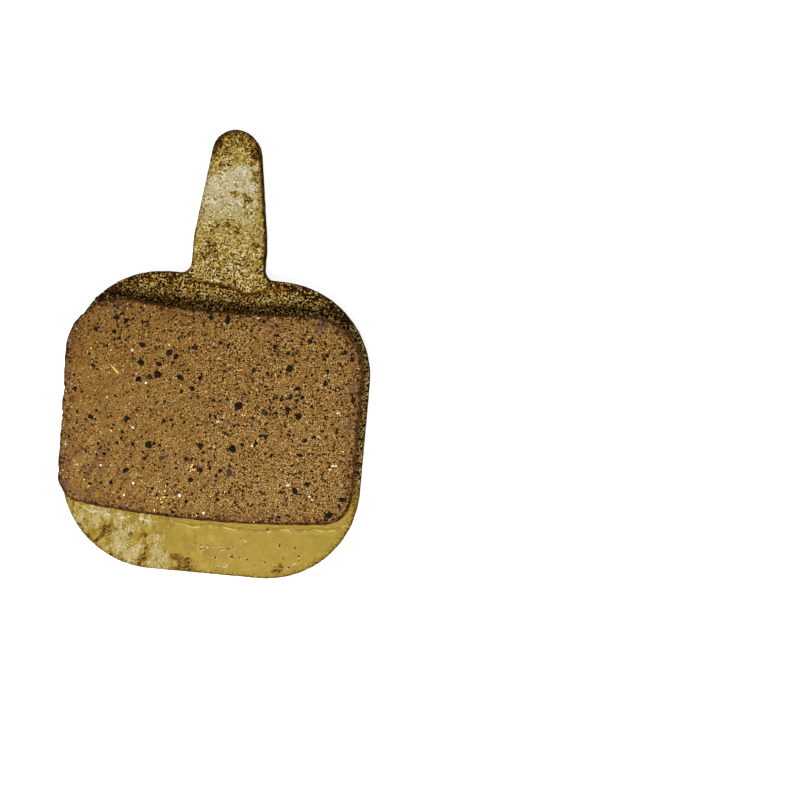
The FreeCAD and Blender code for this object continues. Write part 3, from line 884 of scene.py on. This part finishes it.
def make_bubbles(plate):
    """Burst bubbles in the smooth lacquer below the block, set on its surface."""
    mesh = plate.data
    skin = BVHTree.FromPolygons([v.co / MM for v in mesh.vertices], [p.vertices[:] for p in mesh.polygons])
    strays = []
    for _ in range(STRAY_BUBBLES):
        strays.append((RNG.uniform(STRAYS_LEFT, STRAYS_RIGHT), RNG.uniform(STRAYS_LOW, STRAYS_HIGH)))
    shape = bmesh.new()
    hollow = shape.verts.layers.float.new("hollow")
    for x, y in (*BUBBLES, *strays):
        place = skin.ray_cast(Vector((x, y, FACE)), Vector((0, 0, -1)))[0]
        add_bubble(shape, hollow, place)
    bmesh.ops.remove_doubles(shape, verts=shape.verts, dist=WELD * MM)
    bubbles = bpy.data.meshes.new("lacquer_bubbles")
    shape.to_mesh(bubbles)
    shape.free()
    add_piece("lacquer_bubbles", bubbles, [bubble_skin()])


# Floor, light and camera

def make_floor():
    """A white floor that glows only towards the camera and in reflections, and is clear from below."""
    mesh = bpy.data.meshes.new("floor")
    half = FLOOR_HALF
    corners = [(-half, -half, 0), (half, -half, 0), (half, half, 0), (-half, half, 0)]
    mesh.from_pydata(corners, [], [(0, 1, 2, 3)])
    floor = bpy.data.objects.new("floor", mesh)
    bpy.context.collection.objects.link(floor)
    shader = Shader("floor_white", Base_Color=(0.8, 0.8, 0.8), Roughness=1.0)
    white = shader.surface.outputs[0]
    glow = shader.add("ShaderNodeEmission", inputs={"Color": (1, 1, 1), "Strength": FLOOR_GLOW})
    lit = shader.add("ShaderNodeAddShader", inputs={0: white, 1: glow.outputs[0]})
    path = shader.add("ShaderNodeLightPath").outputs
    seen = shader.larger(path["Is Camera Ray"], path["Is Glossy Ray"])
    seen = shader.larger(seen, path["Is Transmission Ray"])
    top = shader.add("ShaderNodeMixShader", inputs={0: seen, 1: white, 2: lit.outputs[0]})
    clear = shader.add("ShaderNodeBsdfTransparent")
    under = shader.add("ShaderNodeNewGeometry").outputs["Backfacing"]
    both = shader.add("ShaderNodeMixShader", inputs={0: under, 1: top.outputs[0], 2: clear.outputs[0]})
    shader.feed(shader.tree.nodes["Material Output"].inputs["Surface"], both.outputs[0])
    mesh.materials.append(shader.material)


def make_lamp(name, place, size, power):
    light = bpy.data.lights.new(name, "AREA")
    light.shape = "RECTANGLE"
    light.size, light.size_y = size
    light.energy = power
    lamp = bpy.data.objects.new(name, light)
    bpy.context.collection.objects.link(lamp)
    lamp.location = place
    lamp.rotation_euler = (-Vector(place)).to_track_quat("-Z", "Y").to_euler()


def make_lights():
    world = bpy.data.worlds.new("studio")
    bpy.context.scene.world = world
    world.use_nodes = True
    background = world.node_tree.nodes["Background"]
    background.inputs["Color"].default_value = (1, 1, 1, 1)
    background.inputs["Strength"].default_value = SKY_STRENGTH
    make_lamp("key", (-0.03, -0.14, 0.305), (0.14, 0.14), 0.83)
    make_lamp("tab_softbox", (-0.065, 0.06, 0.3), (0.06, 0.06), 0.06)


def make_camera():
    """Stands the camera where the photograph was taken from, in the pad's frame."""
    data = bpy.data.cameras.new("camera")
    data.sensor_fit = "HORIZONTAL"
    data.sensor_width = SENSOR_MM
    data.lens = SENSOR_MM * FOCAL_PX / IMAGE_PX
    data.clip_start = 0.001
    camera = bpy.data.objects.new("camera", data)
    bpy.context.collection.objects.link(camera)
    turn = Matrix.Rotation(TAB_LEAN, 4, "Z")
    place = Matrix.Translation(Vector((*PAD_TO_CAMERA, CAMERA_HEIGHT)) * MM)
    tilt = Matrix.Rotation(-CAMERA_TILT, 4, "X")
    camera.matrix_world = turn @ place @ tilt
    bpy.context.scene.camera = camera


make_bubbles(make_plate())
make_flash(make_block())
make_grains()
make_floor()
make_lights()
make_camera()
bpy.context.scene.view_settings.view_transform = "Standard"
